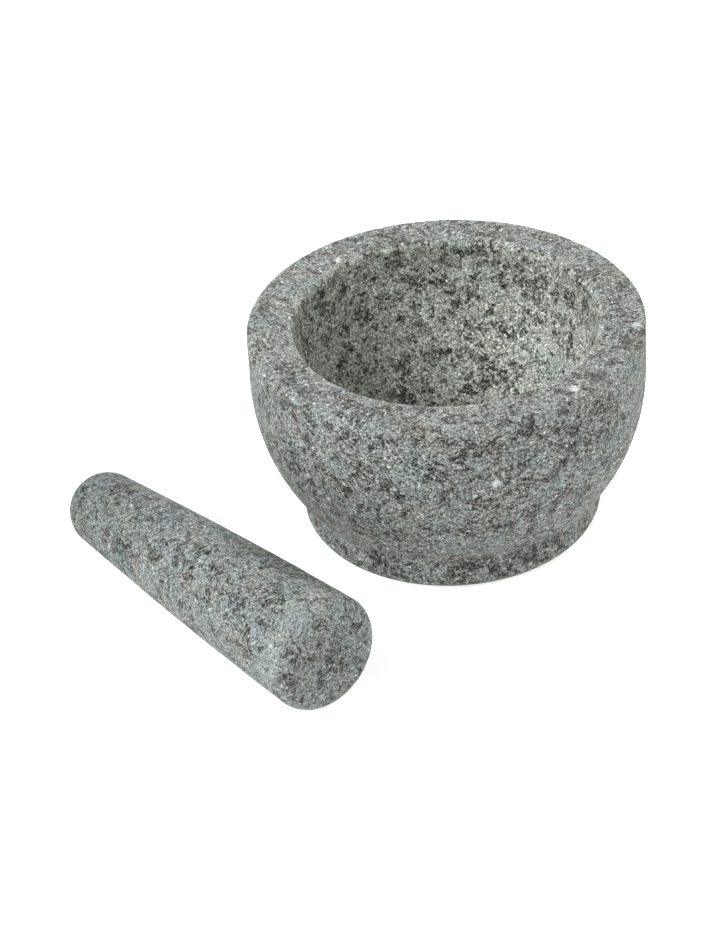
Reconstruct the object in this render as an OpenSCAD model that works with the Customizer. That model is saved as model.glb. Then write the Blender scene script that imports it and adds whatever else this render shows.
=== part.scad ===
// Granite mortar with its pestle lying beside it, each one turned from one piece of stone.
// The origin is the centre of the mortar's foot, on the surface that it stands on; +Z is up.

/* [Mortar] */
// Outer diameter at the rim
rim_d = 150.5; // [144:0.5:158]
// Height from the foot to the rim
mortar_h = 86; // [80:0.5:100]
// Diameter of the bowl at its mouth
mouth_d = 115; // [100:0.5:118]
// Depth of the bowl below the rim
bowl_depth = 62; // [60.5:0.5:70]
// Rounding of the rim's outer edge
rim_round = 2; // [1:0.25:4]
// Rounding of the lip, where the rim turns into the bowl
lip_round = 2.5; // [1:0.25:4]
// Height at which the upright side ends and the belly starts to curve in
belly_top = 65; // [61:0.5:75]
// Radius of the belly's curve, seen from the side
belly_round = 79; // [70:0.5:92]

/* [Foot] */
// Diameter of the foot
foot_d = 115; // [108:0.5:124]
// Rounding of the foot's lower edge
foot_round = 8; // [2:0.25:9]
// Rounding of the crease between the foot and the belly
crease_round = 6; // [2:0.25:8]

/* [Pestle] */
// Diameter at the thick end, which grinds
thick_d = 45; // [38:0.5:50]
// Diameter at the thin end, which is held
thin_d = 29.5; // [27:0.5:34]
// Length of the side between the two rounded ends
side_l = 134.5; // [120:0.5:145]
// How far the side swells halfway along
swell = 0.75; // [0.25:0.05:2]
// Rounding of the thick end's edge
thick_edge = 5; // [3:0.25:8]
// Radius of the shallow dome on the thick end's face
thick_face = 100; // [40:5:200]
// Rounding of the thin end's edge
thin_edge = 13.4; // [10:0.1:14.5]
// Radius of the dome on the thin end's tip
thin_face = 20; // [16:1:60]

/* [Placing] */
// The pestle's thick end: how far right of the mortar's centre
pestle_x = -49; // [-60:0.5:-40]
// The pestle's thick end: how far behind the mortar's centre
pestle_y = -121.5; // [-140:0.5:-110]
// The way the pestle points, turned from +X towards +Y
pestle_turn = 128.25; // [120:0.25:135]

/* [Hidden] */
mortar_stone = [0.51, 0.53, 0.51];
pestle_stone = [0.55, 0.56, 0.55];
// Straight steps along a rounded edge, and along a long curve
edge_steps = 12;
curve_steps = 40;
$fn = 180;

// Points of an arc about (r, z), from one angle to another
function arc(r, z, radius, from, to, steps) =
    [for (i = [0 : steps]) let (a = from + (to - from) * i / steps)
        [r + radius * cos(a), z + radius * sin(a)]];

// The middle of the belly's curve lies this far from the axis, at the height belly_top
rim_r = rim_d / 2;
belly_mid_r = rim_r - belly_round;
// The crease is an arc outside the stone that touches the foot's side and the belly
foot_r = foot_d / 2;
crease_mid_r = foot_r + crease_round;
crease_run = crease_mid_r - belly_mid_r;
crease_drop = sqrt(pow(belly_round + crease_round, 2) - pow(crease_run, 2));
crease_mid_z = belly_top - crease_drop;
crease_angle = atan2(crease_drop, crease_run);
// The bowl is a hemisphere below a short upright stretch and the rounded lip
mouth_r = mouth_d / 2;
bowl_mid_z = mortar_h - bowl_depth + mouth_r;
lip_mid_r = mouth_r + lip_round;

foot_outline = concat(
    [[0, 0]],
    arc(foot_r - foot_round, foot_round, foot_round, -90, 0, edge_steps),
    arc(crease_mid_r, crease_mid_z, crease_round, 180, 180 - crease_angle, edge_steps));
belly_outline = arc(belly_mid_r, belly_top, belly_round, -crease_angle, 0, curve_steps);
rim_outline = concat(
    arc(rim_r - rim_round, mortar_h - rim_round, rim_round, 0, 90, edge_steps),
    arc(lip_mid_r, mortar_h - lip_round, lip_round, 90, 180, edge_steps));
bowl_outline = arc(0, bowl_mid_z, mouth_r, 0, -90, curve_steps);

// End of a round bar of radius r, outline from the axis to the side: a dome of radius face,
// then an edge of radius edge that touches the dome and, at z = 0, the side
function end_outline(r, edge, face) =
    let (slope = asin((r - edge) / (face - edge)))
    concat(
        arc(0, (face - edge) * cos(slope), face, -90, slope - 90, edge_steps),
        arc(r - edge, 0, edge, slope - 90, 0, edge_steps));

thick_r = thick_d / 2;
thin_r = thin_d / 2;
thick_outline = end_outline(thick_r, thick_edge, thick_face);
thin_outline = end_outline(thin_r, thin_edge, thin_face);
// The side tapers from the thick end to the thin end, with a slight swell
side_outline = [for (i = [1 : curve_steps - 1]) let (t = i / curve_steps)
    [thick_r + (thin_r - thick_r) * t + swell * 4 * t * (1 - t), side_l * t]];
pestle_outline = concat(
    thick_outline,
    side_outline,
    [for (i = [len(thin_outline) - 1 : -1 : 0]) [thin_outline[i][0], side_l - thin_outline[i][1]]]);
// The axis leans down towards the thin end, because the pestle lies on its side
lean = atan((thick_r - thin_r) / side_l);

module mortar() {
    color(mortar_stone)
        rotate_extrude()
            polygon(concat(foot_outline, belly_outline, rim_outline, bowl_outline));
}

module pestle() {
    color(pestle_stone)
        translate([pestle_x, pestle_y, 0])
            rotate([0, 90 + lean, pestle_turn])
                translate([-thick_r - swell, 0, 0])
                    rotate_extrude()
                        polygon(pestle_outline);
}

mortar();
pestle();
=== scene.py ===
"""Looks of a granite mortar and pestle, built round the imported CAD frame.

Everything is in metres, in the CAD's own frame: +Z up, origin at the centre of the mortar's foot.
"""
from math import asin, atan, atan2, ceil, cos, hypot, pi, radians, sin, sqrt

import bpy
import numpy as np
from mathutils import Matrix, Vector, noise


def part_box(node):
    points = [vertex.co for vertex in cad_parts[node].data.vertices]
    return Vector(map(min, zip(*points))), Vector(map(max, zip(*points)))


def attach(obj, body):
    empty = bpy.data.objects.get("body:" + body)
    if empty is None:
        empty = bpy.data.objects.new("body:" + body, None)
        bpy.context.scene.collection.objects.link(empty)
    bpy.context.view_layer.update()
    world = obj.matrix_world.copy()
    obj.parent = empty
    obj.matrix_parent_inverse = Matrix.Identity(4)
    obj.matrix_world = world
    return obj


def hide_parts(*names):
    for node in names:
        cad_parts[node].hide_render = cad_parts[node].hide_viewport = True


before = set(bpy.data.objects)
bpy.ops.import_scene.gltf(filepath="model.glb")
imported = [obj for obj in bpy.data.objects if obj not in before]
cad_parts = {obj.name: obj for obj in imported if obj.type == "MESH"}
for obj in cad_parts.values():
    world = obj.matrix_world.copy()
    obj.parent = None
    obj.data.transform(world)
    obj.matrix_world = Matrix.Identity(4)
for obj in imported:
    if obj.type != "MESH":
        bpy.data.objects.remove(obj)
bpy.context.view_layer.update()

MM = 0.001


# ---------------------------------------------------------------- camera

CAMERA_BACK = 1148.8 * MM
CAMERA_UP = 806.5 * MM
CAMERA_YAW = radians(-1.763)
CAMERA_PITCH = radians(34.322)
CAMERA_ROLL = radians(-3.330)
CAMERA_LENS = 139.66


def add_camera():
    """A view from the front, far off with a long lens, looking down, and slightly rolled."""
    data = bpy.data.cameras.new("camera")
    data.lens = CAMERA_LENS
    data.clip_start = 0.1
    data.clip_end = 50.0
    level_right = Vector((cos(CAMERA_YAW), -sin(CAMERA_YAW), 0.0))
    ahead = Vector((
        sin(CAMERA_YAW) * cos(CAMERA_PITCH),
        cos(CAMERA_YAW) * cos(CAMERA_PITCH),
        -sin(CAMERA_PITCH),
    ))
    level_up = level_right.cross(ahead)
    right = cos(CAMERA_ROLL) * level_right + sin(CAMERA_ROLL) * level_up
    up = cos(CAMERA_ROLL) * level_up - sin(CAMERA_ROLL) * level_right
    turn = Matrix((right, up, -ahead)).transposed()
    camera = bpy.data.objects.new("camera", data)
    camera.matrix_world = Matrix.Translation((0.0, -CAMERA_BACK, CAMERA_UP)) @ turn.to_4x4()
    bpy.context.scene.collection.objects.link(camera)
    bpy.context.scene.camera = camera


# ---------------------------------------------------------------- outlines

def arc(r, z, radius, start, end, spacing):
    """Points of an arc about (r, z) between two angles, about spacing apart."""
    steps = max(2, ceil(radius * abs(end - start) / spacing))
    angles = np.linspace(start, end, steps + 1)
    return [(r + radius * cos(a), z + radius * sin(a)) for a in angles]


def line(start, end, spacing):
    """Points between start and end, without either of them, about spacing apart."""
    steps = max(1, ceil(hypot(end[0] - start[0], end[1] - start[1]) / spacing))
    return [
        (start[0] + (end[0] - start[0]) * i / steps, start[1] + (end[1] - start[1]) * i / steps)
        for i in range(1, steps)
    ]


def join(*stretches, spacing):
    """One outline from several stretches, with straight lines of points across the gaps."""
    outline = list(stretches[0])
    for stretch in stretches[1:]:
        gap = hypot(stretch[0][0] - outline[-1][0], stretch[0][1] - outline[-1][1])
        if gap < 0.01 * MM:
            outline += stretch[1:]
        else:
            outline += line(outline[-1], stretch[0], spacing) + list(stretch)
    return outline


# How far apart the points of the mortar's outline are, and of its flat base
MORTAR_SPACING = 1.15 * MM
BASE_SPACING = 6 * MM
# The mortar's other dimensions; its height and its radius at the rim come from the frame
FOOT_R = 57.5 * MM
FOOT_ROUND = 8 * MM
CREASE_ROUND = 6 * MM
BELLY_TOP = 65 * MM
BELLY_ROUND = 79 * MM
RIM_ROUND = 2 * MM
LIP_ROUND = 2.5 * MM
MOUTH_R = 57.5 * MM
BOWL_DEPTH = 62 * MM


def mortar_outline():
    """The mortar's outline as (r, z), from the middle of the base round to the middle of the bowl."""
    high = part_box("mortar")[1]
    rim_r = high.x
    top = high.z
    belly_mid_r = rim_r - BELLY_ROUND
    crease_mid_r = FOOT_R + CREASE_ROUND
    crease_run = crease_mid_r - belly_mid_r
    crease_drop = sqrt((BELLY_ROUND + CREASE_ROUND) ** 2 - crease_run ** 2)
    crease_angle = atan2(crease_drop, crease_run)
    base_r = FOOT_R - FOOT_ROUND
    bowl_mid_z = top - BOWL_DEPTH + MOUTH_R
    return join(
        [(0.0, 0.0)] + line((0.0, 0.0), (base_r, 0.0), BASE_SPACING),
        arc(base_r, FOOT_ROUND, FOOT_ROUND, -pi / 2, 0, MORTAR_SPACING),
        arc(crease_mid_r, BELLY_TOP - crease_drop, CREASE_ROUND, pi, pi - crease_angle, MORTAR_SPACING),
        arc(belly_mid_r, BELLY_TOP, BELLY_ROUND, -crease_angle, 0, MORTAR_SPACING),
        arc(rim_r - RIM_ROUND, top - RIM_ROUND, RIM_ROUND, 0, pi / 2, MORTAR_SPACING / 2),
        arc(MOUTH_R + LIP_ROUND, top - LIP_ROUND, LIP_ROUND, pi / 2, pi, MORTAR_SPACING / 2),
        arc(0.0, bowl_mid_z, MOUTH_R, 0, -pi / 2, MORTAR_SPACING),
        spacing=MORTAR_SPACING,
    )


PESTLE_SPACING = 0.6 * MM
# Where the pestle's thick end lies, which way the pestle points from there, and its dimensions
PESTLE_X = -49 * MM
PESTLE_Y = -121.5 * MM
PESTLE_TURN = radians(128.25)
THICK_R = 22.5 * MM
THICK_EDGE = 5 * MM
THICK_FACE = 100 * MM
THIN_R = 14.75 * MM
THIN_EDGE = 13.4 * MM
THIN_FACE = 20 * MM
SIDE_L = 134.5 * MM
SWELL = 0.75 * MM


def end_outline(r, edge, face):
    """The end of a round bar of radius r, from its axis to its side at z = 0: a dome, then an edge."""
    slope = asin((r - edge) / (face - edge))
    return join(
        arc(0.0, (face - edge) * cos(slope), face, -pi / 2, slope - pi / 2, PESTLE_SPACING),
        arc(r - edge, 0.0, edge, slope - pi / 2, 0, PESTLE_SPACING),
        spacing=PESTLE_SPACING,
    )


def pestle_outline():
    """The pestle's outline as (r, z) along its axis, from its thick end to its thin end."""
    steps = ceil(SIDE_L / PESTLE_SPACING)
    side = [
        (THICK_R + (THIN_R - THICK_R) * t + SWELL * 4 * t * (1 - t), SIDE_L * t)
        for t in np.linspace(0, 1, steps + 1)
    ]
    thin_end = [(r, SIDE_L - z) for r, z in reversed(end_outline(THIN_R, THIN_EDGE, THIN_FACE))]
    return join(end_outline(THICK_R, THICK_EDGE, THICK_FACE), side, thin_end, spacing=PESTLE_SPACING)


def pestle_place():
    """Where the pestle lies: on its side, its axis leaning down towards the thin end."""
    lean = atan((THICK_R - THIN_R) / SIDE_L)
    return (
        Matrix.Translation((PESTLE_X, PESTLE_Y, 0.0))
        @ Matrix.Rotation(PESTLE_TURN, 4, "Z")
        @ Matrix.Rotation(pi / 2 + lean, 4, "Y")
        @ Matrix.Translation((-THICK_R - SWELL, 0.0, 0.0))
    )


# ---------------------------------------------------------------- stone meshes

def lathe(name, outline, segments):
    """A closed mesh turned from an outline that starts and ends on the axis."""
    rings = outline[1:-1]
    angles = np.linspace(0, 2 * pi, segments, endpoint=False)
    radius = np.array([r for r, z in rings])[:, None]
    height = np.array([z for r, z in rings])[:, None]
    grid = np.stack([radius * np.cos(angles), radius * np.sin(angles), height + 0 * angles], axis=2)
    ends = [[0.0, 0.0, outline[0][1]], [0.0, 0.0, outline[-1][1]]]
    points = np.vstack([grid.reshape(-1, 3), ends])
    first = len(points) - 2
    last = len(points) - 1
    here = np.arange(segments)
    after = (here + 1) % segments
    faces = []
    for ring in range(len(rings) - 1):
        low = ring * segments
        high = low + segments
        faces += np.stack([low + here, low + after, high + after, high + here], axis=1).tolist()
    top = (len(rings) - 1) * segments
    faces += [(first, b, a) for a, b in zip(here.tolist(), after.tolist())]
    faces += [(last, top + a, top + b) for a, b in zip(here.tolist(), after.tolist())]
    mesh = bpy.data.meshes.new(name)
    mesh.from_pydata(points.tolist(), [], faces)
    mesh.shade_smooth()
    return mesh


def wave(point, size):
    """Smooth noise from -1 to 1 whose bumps are about size across."""
    return noise.noise(point / size)


PIT_SPACING = 7 * MM
PIT_RADIUS = 1.3 * MM
PIT_DEPTH = 0.3 * MM


def pits(point):
    """Small round pits, one to each cell of a scattered pattern: 0 between them, below 0 inside one."""
    distance = noise.voronoi(point / PIT_SPACING)[0][0] * PIT_SPACING
    inside = max(0.0, 1 - distance / PIT_RADIUS)
    return -PIT_DEPTH * inside * inside


# Height and size of the waves and dimples that grinding leaves, from the widest to the finest
WAVES = [
    (0.08 * MM, 34 * MM),
    (0.05 * MM, 11 * MM),
    (0.045 * MM, 4.2 * MM),
    (0.04 * MM, 2.3 * MM),
]


def stone_relief(point):
    """How far the ground stone stands off its turned shape."""
    return sum(height * wave(point, size) for height, size in WAVES) + pits(point)


CHIP_SIZE = 5 * MM
CHIP_DEPTH = 0.5 * MM
# Only where the noise is above this is a worn edge chipped
CHIP_START = 0.25


def chips(point):
    """Small bites out of a worn edge: 0 where it is whole, below 0 where it is chipped."""
    return -CHIP_DEPTH * max(0.0, wave(point, CHIP_SIZE) - CHIP_START)


# How far the relief as a whole is sunk below the turned shape
RELIEF_SINK = 0.03 * MM
FLOOR_FADE = 3 * MM


def roughen(mesh, wear_and_highlight):
    """Moves each point along its normal by the relief and the chips, fading both out at the floor."""
    count = len(mesh.vertices)
    points = np.empty(count * 3)
    mesh.vertices.foreach_get("co", points)
    points = points.reshape(-1, 3)
    normals = np.array([v.normal for v in mesh.vertices])
    places = [Vector(p) for p in points]
    relief = np.array([stone_relief(p) + w * chips(p) for p, w in zip(places, wear_and_highlight)])
    clear = np.clip(points[:, 2] / FLOOR_FADE, 0, 1)
    points += normals * ((relief - RELIEF_SINK) * clear)[:, None]
    mesh.vertices.foreach_set("co", points.ravel())
    mesh.update()


def radius_and_height(mesh):
    """Each point's distance from the turning axis, and its height along it."""
    points = np.array([v.co for v in mesh.vertices])
    return np.hypot(points[:, 0], points[:, 1]), points[:, 2]


# How much of an edge's reach has the full wear and painted highlight, before they start to fade
FULL_EDGE_SHARE = 0.4


def edge_share(mesh, edges, reach):
    """1 near the given edges, each a circle (r, z), fading to 0 over a distance of reach."""
    radius, height = radius_and_height(mesh)
    away = np.min([np.hypot(radius - r, height - z) for r, z in edges], axis=0)
    return np.clip(1 + FULL_EDGE_SHARE - away / reach, 0, 1)


def set_attribute(mesh, name, values):
    """Stores one number a point, for the material to read."""
    layer = mesh.attributes.new(name, "FLOAT", "POINT")
    layer.data.foreach_set("value", np.asarray(values, dtype=np.float32))


def add_piece(name, mesh, material, body):
    """Puts a mesh in the scene as the piece that stands for the CAD node of its body."""
    mesh.materials.append(material)
    piece = bpy.data.objects.new(name, mesh)
    bpy.context.scene.collection.objects.link(piece)
    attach(piece, body)
    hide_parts(body)


# ---------------------------------------------------------------- granite

def srgb(red, green, blue):
    """A linear RGBA colour from the 0 to 255 values that a picture shows."""
    shares = [c / 255 for c in (red, green, blue)]
    linear = [s / 12.92 if s <= 0.04045 else ((s + 0.055) / 1.055) ** 2.4 for s in shares]
    return (*linear, 1.0)


def add_node(tree, kind, inputs=None, **settings):
    """A new node; inputs maps a socket's name or number to a value, or to the output it is fed from."""
    node = tree.nodes.new(kind)
    for name, value in settings.items():
        setattr(node, name, value)
    for key, value in (inputs or {}).items():
        if isinstance(value, bpy.types.NodeSocket):
            tree.links.new(value, node.inputs[key])
        else:
            node.inputs[key].default_value = value
    return node


def attribute(tree, name):
    """The number that the mesh stores at each point: tone, how far it is bowl, how much wear and painted
    highlight its edges have, or how much painted shade.
    """
    return add_node(tree, "ShaderNodeAttribute", attribute_name=name).outputs["Fac"]


def mix_color(tree, blend, factor, first, second):
    """Two colours mixed by a factor from 0, only the first, to 1."""
    node = add_node(
        tree, "ShaderNodeMix", {"Factor": factor, 6: first, 7: second}, data_type="RGBA", blend_type=blend)
    return node.outputs[2]


def math_node(tree, operation, *values):
    """The output of one Math node."""
    return add_node(tree, "ShaderNodeMath", dict(enumerate(values)), operation=operation).outputs[0]


def noise_field(tree, place, size, detail=0.0, roughness=0.5, seed=0.0):
    """Smooth noise about 0, whose bumps are about size across; seed picks another noise."""
    node = add_node(
        tree, "ShaderNodeTexNoise",
        {"Vector": place, "W": seed, "Scale": 1 / size, "Detail": detail, "Roughness": roughness},
        noise_dimensions="4D",
    )
    return math_node(tree, "SUBTRACT", node.outputs["Fac"], 0.5)


def weighted_sum(tree, start, *terms):
    """start plus each (field, weight): how much a field of 1 adds to a tone, a tint or a share."""
    total = start
    for field, weight in terms:
        total = math_node(tree, "MULTIPLY_ADD", field, weight, total)
    return total


def color_ramp(tree, value, stops):
    """Colours by value; stops is a list of (position, colour)."""
    node = add_node(tree, "ShaderNodeValToRGB", {"Fac": value})
    ramp = node.color_ramp
    while len(ramp.elements) < len(stops):
        ramp.elements.new(0.5)
    for element, (position, color) in zip(ramp.elements, stops):
        element.position = position
        element.color = color
    return node.outputs["Color"]


def map_range(tree, value, start, end, interpolation="LINEAR"):
    """A value rescaled so that it goes from 0 at start to 1 at end, and stays there beyond them."""
    node = add_node(
        tree, "ShaderNodeMapRange", {"Value": value, "From Min": start, "From Max": end},
        interpolation_type=interpolation)
    return node.outputs["Result"]


def cell_values(tree, place, size, channel):
    """Cells about size across, each with its own value from 0 to 1; each channel, 0 to 2, has its own."""
    cells = add_node(tree, "ShaderNodeTexVoronoi", {"Vector": place, "Scale": 1 / size, "Randomness": 1.0})
    return add_node(tree, "ShaderNodeSeparateColor", {"Color": cells.outputs["Color"]}).outputs[channel]


def grain_field(tree, place, size):
    """Crystals about size across, each with its own value, about 0."""
    return math_node(tree, "SUBTRACT", cell_values(tree, place, size, 0), 0.5)


def flake_field(tree, place, size, share, edge):
    """Flakes about size across that cover a share of the stone: 1 in a flake, 0 between them."""
    inside = math_node(tree, "SUBTRACT", share, cell_values(tree, place, size, 1))
    return map_range(tree, inside, -edge, edge)


PATCH_EDGE = 0.035


def patch_field(tree, place, size, cover, seed):
    """Irregular patches about size across: 1 inside, 0 outside; a higher cover makes them wider."""
    field = noise_field(tree, place, size, detail=2.5, roughness=0.55, seed=seed)
    return map_range(tree, math_node(tree, "ADD", field, cover), -PATCH_EDGE, PATCH_EDGE, "SMOOTHSTEP")


def spot_field(tree, place, spots):
    """1 in the inner half of each spot, given as (place, radius), falling to 0 at its radius."""
    total = 0.0
    for middle, radius in spots:
        away = add_node(tree, "ShaderNodeVectorMath", {0: place, 1: middle}, operation="DISTANCE")
        near = map_range(tree, away.outputs["Value"], radius, radius / 2)
        total = math_node(tree, "ADD", near, total)
    return total


WARP = 1.6 * MM
WARP_SIZE = 1.2 * MM
# The noise is a half on average, so on average the warped place is ahead of the true one by this
WARP_SHIFT = Vector((0.5, 0.5, 0.5)) * WARP


def warp_place(tree, place):
    """The place shifted by a fine noise, so that the flakes that are cut from it have ragged edges."""
    shift = add_node(tree, "ShaderNodeTexNoise", {"Vector": place, "Scale": 1 / WARP_SIZE, "Detail": 1.0})
    warped = add_node(
        tree, "ShaderNodeVectorMath", {0: shift.outputs["Color"], 1: (WARP,) * 3, 2: place},
        operation="MULTIPLY_ADD")
    return warped.outputs[0]


WIDE_PATCH = 10 * MM
WIDE_COVER = -0.065
NARROW_PATCH = 4.5 * MM
NARROW_COVER = -0.06
CLOT_PULL = 0.2


def patch_pattern(tree, place, clots):
    """Where the dark flakes crowd: in wide and in narrow patches, and at the named clots."""
    near_clot = spot_field(tree, place, clots)
    wide_cover = weighted_sum(tree, WIDE_COVER, (near_clot, CLOT_PULL))
    narrow_cover = weighted_sum(tree, NARROW_COVER, (near_clot, CLOT_PULL))
    wide = patch_field(tree, place, WIDE_PATCH, wide_cover, seed=3.0)
    narrow = patch_field(tree, place, NARROW_PATCH, narrow_cover, seed=5.0)
    return math_node(tree, "MAXIMUM", wide, narrow)


# Sizes of the crystals, and how far apart in tone the palest and the darkest of each are
FINE_CRYSTAL = 0.46 * MM
FINE_TONES = 0.53
COARSE_CRYSTAL = 0.8 * MM
COARSE_TONES = 0.31


def crystal_pattern(tree, place, patch):
    """The crystals' tone, about 0: with more contrast in a patch and the bowl, and less in the painted
    shade and on worn edges with their painted highlight.
    """
    fine = grain_field(tree, place, FINE_CRYSTAL)
    coarse = grain_field(tree, place, COARSE_CRYSTAL)
    grain = weighted_sum(tree, 0.0, (fine, FINE_TONES), (coarse, COARSE_TONES))
    contrast = weighted_sum(
        tree, 0.88,
        (patch, 0.22), (attribute(tree, "bowl"), 0.06), (attribute(tree, "painted_shade"), -0.1),
        (attribute(tree, "wear_and_highlight"), -0.15))
    return math_node(tree, "MULTIPLY", grain, contrast)


# Sizes of the flakes, the shares of the stone that they cover outside the patches, and what they and
# the rest add to the stone's tone
BIG_FLAKE = 2.2 * MM
BIG_SHARE = 0.03
BIG_TONE = -0.15
SMALL_FLAKE = 1.15 * MM
SMALL_SHARE = 0.11
SMALL_TONE = -0.14
WHITE_SPECK = 1.0 * MM
WHITE_SHARE = 0.012
WHITE_TONE = 0.3
QUARTZ_TONE = 0.38
PATCH_TONE = -0.035
# Lightens the worn edges: wear, and a painted highlight along them
EDGE_WEAR_AND_HIGHLIGHT_TONE = 0.08
# How much stronger the flakes' tones are in the bowl
BOWL_BOOST = 0.4


def dark_flakes(tree, ragged, patch):
    """The big and the small dark flakes, which crowd in a patch and are cut from the ragged place."""
    # More dark flakes in the painted shade at the mortar's foot and the pestle's thin end, fewer on worn
    # edges with their painted highlight
    crowd = weighted_sum(
        tree, 0.0, (patch, 0.40), (attribute(tree, "painted_shade"), 0.07), (attribute(tree, "wear_and_highlight"), -0.05))
    big_share = weighted_sum(tree, BIG_SHARE, (crowd, 1.0))
    small_share = weighted_sum(tree, SMALL_SHARE, (crowd, 1.1))
    big = flake_field(tree, ragged, BIG_FLAKE, big_share, edge=0.04)
    small = flake_field(tree, ragged, SMALL_FLAKE, small_share, edge=0.08)
    return big, small


def quartz_crystals(tree, ragged, spots):
    """The large white crystals at the given spots, with ragged edges."""
    shifted = [(middle + WARP_SHIFT, radius) for middle, radius in spots]
    return spot_field(tree, ragged, shifted)


# The stone's greys, evenly spaced to the eye from black to white, with a touch of green
GREYS = [
    (0.00, srgb(1, 3, 1)),
    (0.25, srgb(61, 64, 61)),
    (0.50, srgb(126, 129, 126)),
    (0.75, srgb(190, 193, 190)),
    (1.00, srgb(254, 255, 253)),
]
# What the greys are multiplied by, from bluish to pinkish, and what that leans towards in the bowl
TINTS = [
    (0.0, srgb(240, 251, 255)),
    (0.5, srgb(253, 255, 252)),
    (1.0, srgb(255, 247, 241)),
]
BOWL_TINT = srgb(251, 255, 242)
BOWL_TINT_SHARE = 0.4
# How wide the tint's drift is, how strong, and how much that changes in the bowl
TINT_SIZE = 11 * MM
TINT_DRIFT = 1.7
BOWL_DRIFT = -0.3


def tint_color(tree, place, tint, patch, big_flakes, quartz):
    """The stone's tint, which drifts slowly, and is pinker in the patches and in the big flakes."""
    bowl = attribute(tree, "bowl")
    drift = noise_field(tree, place, TINT_SIZE, detail=0.5, seed=9.0)
    drift = math_node(tree, "MULTIPLY", drift, weighted_sum(tree, TINT_DRIFT, (bowl, BOWL_DRIFT)))
    value = weighted_sum(
        tree, tint, (drift, 1.0), (patch, 0.22), (big_flakes, 0.08), (bowl, 0.1), (quartz, -0.5))
    bowl_share = math_node(tree, "MULTIPLY", bowl, BOWL_TINT_SHARE)
    return mix_color(tree, "MIX", bowl_share, color_ramp(tree, value, TINTS), BOWL_TINT)


FINE_TOOTH = 0.7 * MM
COARSE_TOOTH = 1.6 * MM
TOOTH_HEIGHT = 0.3 * MM
TOOTH_STRENGTH = 0.6
ROUGHNESS = 0.74
FLAKE_SMOOTHNESS = 0.14
SPECULAR_LEVEL = 0.35


def add_finish(tree, shader, place, small_flakes):
    """The ground stone's fine tooth, and its dull gloss, with the small flakes a little glossier."""
    fine = noise_field(tree, place, FINE_TOOTH, seed=11.0)
    coarse = noise_field(tree, place, COARSE_TOOTH, seed=13.0)
    tooth = math_node(tree, "ADD", fine, coarse)
    bump = add_node(
        tree, "ShaderNodeBump", {"Strength": TOOTH_STRENGTH, "Distance": TOOTH_HEIGHT, "Height": tooth})
    tree.links.new(bump.outputs["Normal"], shader.inputs["Normal"])
    roughness = weighted_sum(tree, ROUGHNESS, (small_flakes, -FLAKE_SMOOTHNESS))
    tree.links.new(roughness, shader.inputs["Roughness"])
    shader.inputs["Specular IOR Level"].default_value = SPECULAR_LEVEL


def granite(name, tint, contrast, clots, quartz_spots):
    """Ground granite: crystals, dark flakes in patches, white specks and crystals, and faint tints."""
    material = bpy.data.materials.new(name)
    material.use_nodes = True
    tree = material.node_tree
    shader = tree.nodes["Principled BSDF"]
    place = add_node(tree, "ShaderNodeTexCoord").outputs["Object"]
    ragged = warp_place(tree, place)

    patch = patch_pattern(tree, place, clots)
    big_flakes, small_flakes = dark_flakes(tree, ragged, patch)
    white_specks = flake_field(tree, place, WHITE_SPECK, WHITE_SHARE, edge=0.006)
    quartz = quartz_crystals(tree, ragged, quartz_spots)
    flakes = weighted_sum(
        tree, 0.0, (big_flakes, BIG_TONE), (small_flakes, SMALL_TONE), (white_specks, WHITE_TONE))
    boost = weighted_sum(tree, 1.0, (attribute(tree, "bowl"), BOWL_BOOST))
    flakes = math_node(tree, "MULTIPLY", flakes, boost)
    crystals = crystal_pattern(tree, place, patch)
    # The worn edges are lighter: wear, and a painted highlight
    wear_and_highlight = attribute(tree, "wear_and_highlight")
    pattern = weighted_sum(
        tree, flakes, (crystals, 1.0), (patch, PATCH_TONE), (wear_and_highlight, EDGE_WEAR_AND_HIGHLIGHT_TONE), (quartz, QUARTZ_TONE))
    tone = weighted_sum(tree, attribute(tree, "tone"), (pattern, contrast))

    tint_here = tint_color(tree, place, tint, patch, big_flakes, quartz)
    stone = mix_color(tree, "MULTIPLY", 1.0, color_ramp(tree, tone, GREYS), tint_here)
    tree.links.new(stone, shader.inputs["Base Color"])
    add_finish(tree, shader, place, small_flakes)
    return material


# ---------------------------------------------------------------- the two stones

MORTAR_SEGMENTS = 400
# How pale the stone is, from 0 to 1, and how much more that is in the bowl
MORTAR_TONE = 0.536
BOWL_TONE = 0.119
MORTAR_TINT = 0.49
MORTAR_CONTRAST = 1.0
# How much the rim's two edges are worn and lightened with a painted highlight, and how far that reaches
RIM_WEAR_AND_HIGHLIGHT = 0.6
RIM_WEAR_AND_HIGHLIGHT_REACH = 3 * MM
# The foot's painted shade, extra dark flakes, starts at this height, and is full this far below it
PAINTED_SHADE_BELOW = 20 * MM
PAINTED_SHADE_FADE = 8 * MM


def make_spots(radius, *places):
    """Spots of one radius for spot_field, at places in millimetres."""
    return [(Vector(place) * MM, radius) for place in places]


# Dark clots of flakes in the mortar: in the bowl, on the rim and outside
CLOTS = make_spots(
    5 * MM,
    (-6, 42, 43), (-18, 28, 35), (33, 45, 69), (48, 31, 73), (-49, 31, 79), (-19, 54, 80), (13, 56, 82),
    (68, -22, 86), (53, -44, 86),
    (-5, -75, 68), (28, -70, 83), (16, -73, 78), (-31, -68, 64), (29, -66, 43), (27, -50, 12),
)
# White crystals in the mortar: on the rim, and one outside
QUARTZ = make_spots(2.4 * MM, (71, -9, 86), (-41, 47, 86), (46, -51, 86), (16, -73, 61))


def bowl_share(mesh):
    """How far each point of the mortar lies inside the bowl: 1 inside, 0 outside, turning over the lip."""
    radius, height = radius_and_height(mesh)
    inside = np.clip((MOUTH_R + LIP_ROUND - radius) / LIP_ROUND, 0, 1)
    sphere_z = height.max() - BOWL_DEPTH + MOUTH_R
    reach = np.hypot(radius, np.minimum(height - sphere_z, 0))
    return inside * (reach < MOUTH_R + LIP_ROUND)


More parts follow.
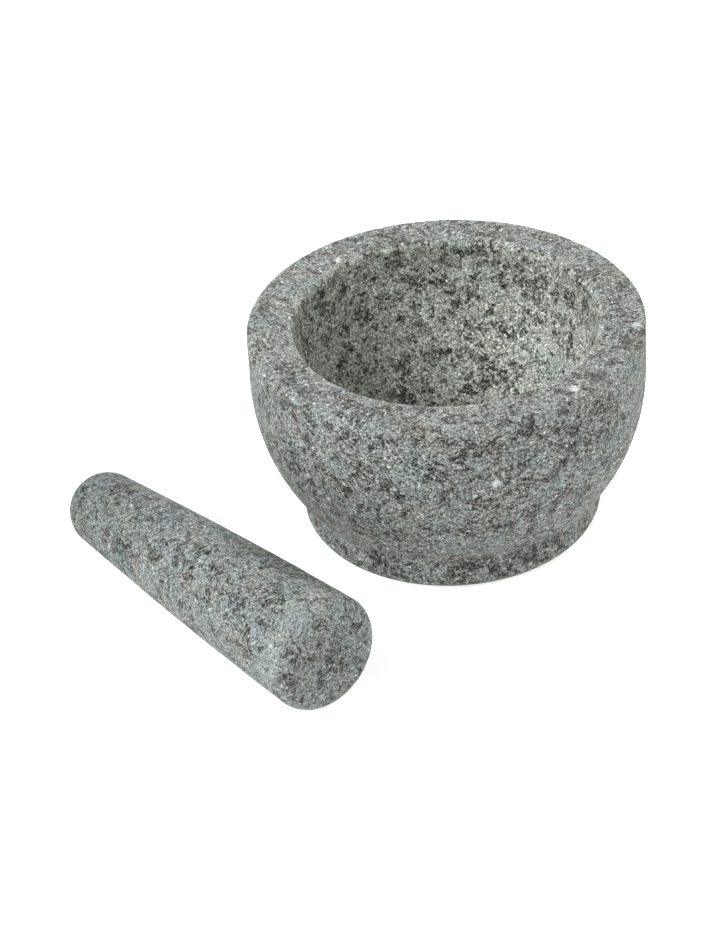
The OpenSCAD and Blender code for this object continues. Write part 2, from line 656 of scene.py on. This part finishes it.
def add_mortar():
    """The mortar: its foot has more dark flakes as painted shade, and its rim's two edges are worn and
    lightened with a painted highlight.
    """
    mesh = lathe("mortar_stone", mortar_outline(), MORTAR_SEGMENTS)
    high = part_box("mortar")[1]
    # The rim's two edges: worn, and lightened with a painted highlight
    wear_and_highlight = RIM_WEAR_AND_HIGHLIGHT * edge_share(mesh, [(high.x, high.z), (MOUTH_R, high.z)], RIM_WEAR_AND_HIGHLIGHT_REACH)
    height = radius_and_height(mesh)[1]
    bowl = bowl_share(mesh)
    set_attribute(mesh, "bowl", bowl)
    set_attribute(mesh, "wear_and_highlight", wear_and_highlight)
    # Painted shade on the foot, under the belly, as more dark flakes and less contrast
    set_attribute(mesh, "painted_shade", np.clip((PAINTED_SHADE_BELOW - height) / PAINTED_SHADE_FADE, 0, 1))
    set_attribute(mesh, "tone", MORTAR_TONE + BOWL_TONE * bowl)
    roughen(mesh, wear_and_highlight)
    material = granite("mortar_granite", MORTAR_TINT, MORTAR_CONTRAST, CLOTS, QUARTZ)
    add_piece("mortar_stone", mesh, material, "mortar")


PESTLE_SEGMENTS = 240
# How pale the pestle is, and how much painted shade darkens it towards its thin end
PESTLE_TONE = 0.535
THIN_END_SHADE_TONE = -0.06
PESTLE_TINT = 0.32
PESTLE_CONTRAST = 0.82
# How far the thick end's wear and painted highlight reach from its edge
END_WEAR_AND_HIGHLIGHT_REACH = 8 * MM
# The painted shade at the thin end starts this far along the side, as a share of its length
THIN_END_SHADE_FROM = 0.6


def add_pestle():
    """The pestle: its thin end has more dark flakes and is darker, as painted shade, and the edge of its
    thick end is worn and lightened with a painted highlight.
    """
    mesh = lathe("pestle_stone", pestle_outline(), PESTLE_SEGMENTS)
    # The thick end's edge: worn, and lightened with a painted highlight
    wear_and_highlight = edge_share(mesh, [(THICK_R, 0)], END_WEAR_AND_HIGHLIGHT_REACH)
    height = radius_and_height(mesh)[1]
    # Painted shade, darkening the pestle towards its thin end
    thin_end_shade = np.clip((height / SIDE_L - THIN_END_SHADE_FROM) / (1 - THIN_END_SHADE_FROM), 0, 1)
    set_attribute(mesh, "bowl", np.zeros(len(mesh.vertices)))
    set_attribute(mesh, "wear_and_highlight", wear_and_highlight)
    set_attribute(mesh, "painted_shade", thin_end_shade)
    set_attribute(mesh, "tone", PESTLE_TONE + THIN_END_SHADE_TONE * thin_end_shade)
    mesh.transform(pestle_place())
    roughen(mesh, wear_and_highlight)
    material = granite("pestle_granite", PESTLE_TINT, PESTLE_CONTRAST, [], [])
    add_piece("pestle_stone", mesh, material, "pestle")


# ---------------------------------------------------------------- studio

FLOOR_SIZE = 12.0
FLOOR_WHITE = 0.86
FLOOR_ROUGHNESS = 0.9
# How much the floor glows, how much more to the camera, and how much the surround lights the stones
FLOOR_GLOW = 0.33
BACKDROP_GLOW = 0.4
SURROUND_LIGHT = 0.02


def floor_material():
    """White, glowing, and more so to the camera, so that the stones' shadows stay faint."""
    material = bpy.data.materials.new("floor")
    material.use_nodes = True
    tree = material.node_tree
    shader = tree.nodes["Principled BSDF"]
    shader.inputs["Base Color"].default_value = (FLOOR_WHITE, FLOOR_WHITE, FLOOR_WHITE, 1.0)
    shader.inputs["Roughness"].default_value = FLOOR_ROUGHNESS
    shader.inputs["Emission Color"].default_value = (1.0, 1.0, 1.0, 1.0)
    seen = add_node(tree, "ShaderNodeLightPath").outputs["Is Camera Ray"]
    glow = math_node(tree, "MULTIPLY_ADD", seen, BACKDROP_GLOW, FLOOR_GLOW)
    tree.links.new(glow, shader.inputs["Emission Strength"])
    return material


def add_floor():
    """A plain square floor, far larger than the stones."""
    half = FLOOR_SIZE / 2
    corners = [(-half, -half, 0), (half, -half, 0), (half, half, 0), (-half, half, 0)]
    mesh = bpy.data.meshes.new("floor")
    mesh.from_pydata(corners, [], [(0, 1, 2, 3)])
    mesh.materials.append(floor_material())
    floor = bpy.data.objects.new("floor", mesh)
    bpy.context.scene.collection.objects.link(floor)


SOFTBOX_AWAY = 2.6
SOFTBOX_SIZE = 1.3
COOL = (0.99, 1.0, 1.01)
WARM = (1.02, 1.0, 0.975)


def add_softbox(name, azimuth, elevation, power, color):
    """A square soft light that faces the stones; azimuth 0 is in front, and 90 degrees is at the right."""
    data = bpy.data.lights.new(name, "AREA")
    data.size = SOFTBOX_SIZE
    data.energy = power
    data.color = color
    light = bpy.data.objects.new(name, data)
    away = Vector((
        cos(elevation) * sin(azimuth),
        -cos(elevation) * cos(azimuth),
        sin(elevation),
    ))
    light.location = SOFTBOX_AWAY * away
    light.rotation_euler = (-away).to_track_quat("-Z", "Y").to_euler()
    bpy.context.scene.collection.objects.link(light)


def add_surround():
    """A white surround, which a low camera sees past the floor; it hardly lights the stones."""
    world = bpy.data.worlds.new("surround")
    world.use_nodes = True
    tree = world.node_tree
    background = tree.nodes["Background"]
    background.inputs["Color"].default_value = (1.0, 1.0, 1.0, 1.0)
    seen = add_node(tree, "ShaderNodeLightPath").outputs["Is Camera Ray"]
    strength = math_node(tree, "MAXIMUM", seen, SURROUND_LIGHT)
    tree.links.new(strength, background.inputs["Strength"])
    bpy.context.scene.world = world


# Each softbox: name, azimuth and elevation in degrees, power in watts, and colour
SOFTBOXES = [
    ("key", 315, 38, 46.0, COOL),
    ("high_left", 315, 62, 7.0, COOL),
    ("left", 270, 38, 16.0, COOL),
    ("low_right", 98, 12, 25.0, WARM),
    ("right", 90, 38, 11.0, WARM),
    ("back", 180, 38, 34.0, COOL),
    ("low_back", 170, 14, 12.0, COOL),
]


def add_lights():
    """A key light from the left in front, and weaker lights at the left, at the right and behind."""
    for name, azimuth, elevation, power, color in SOFTBOXES:
        add_softbox(name, radians(azimuth), radians(elevation), power, color)


add_camera()
bpy.context.scene.view_settings.view_transform = "Standard"
add_mortar()
add_pestle()
add_floor()
add_surround()
add_lights()
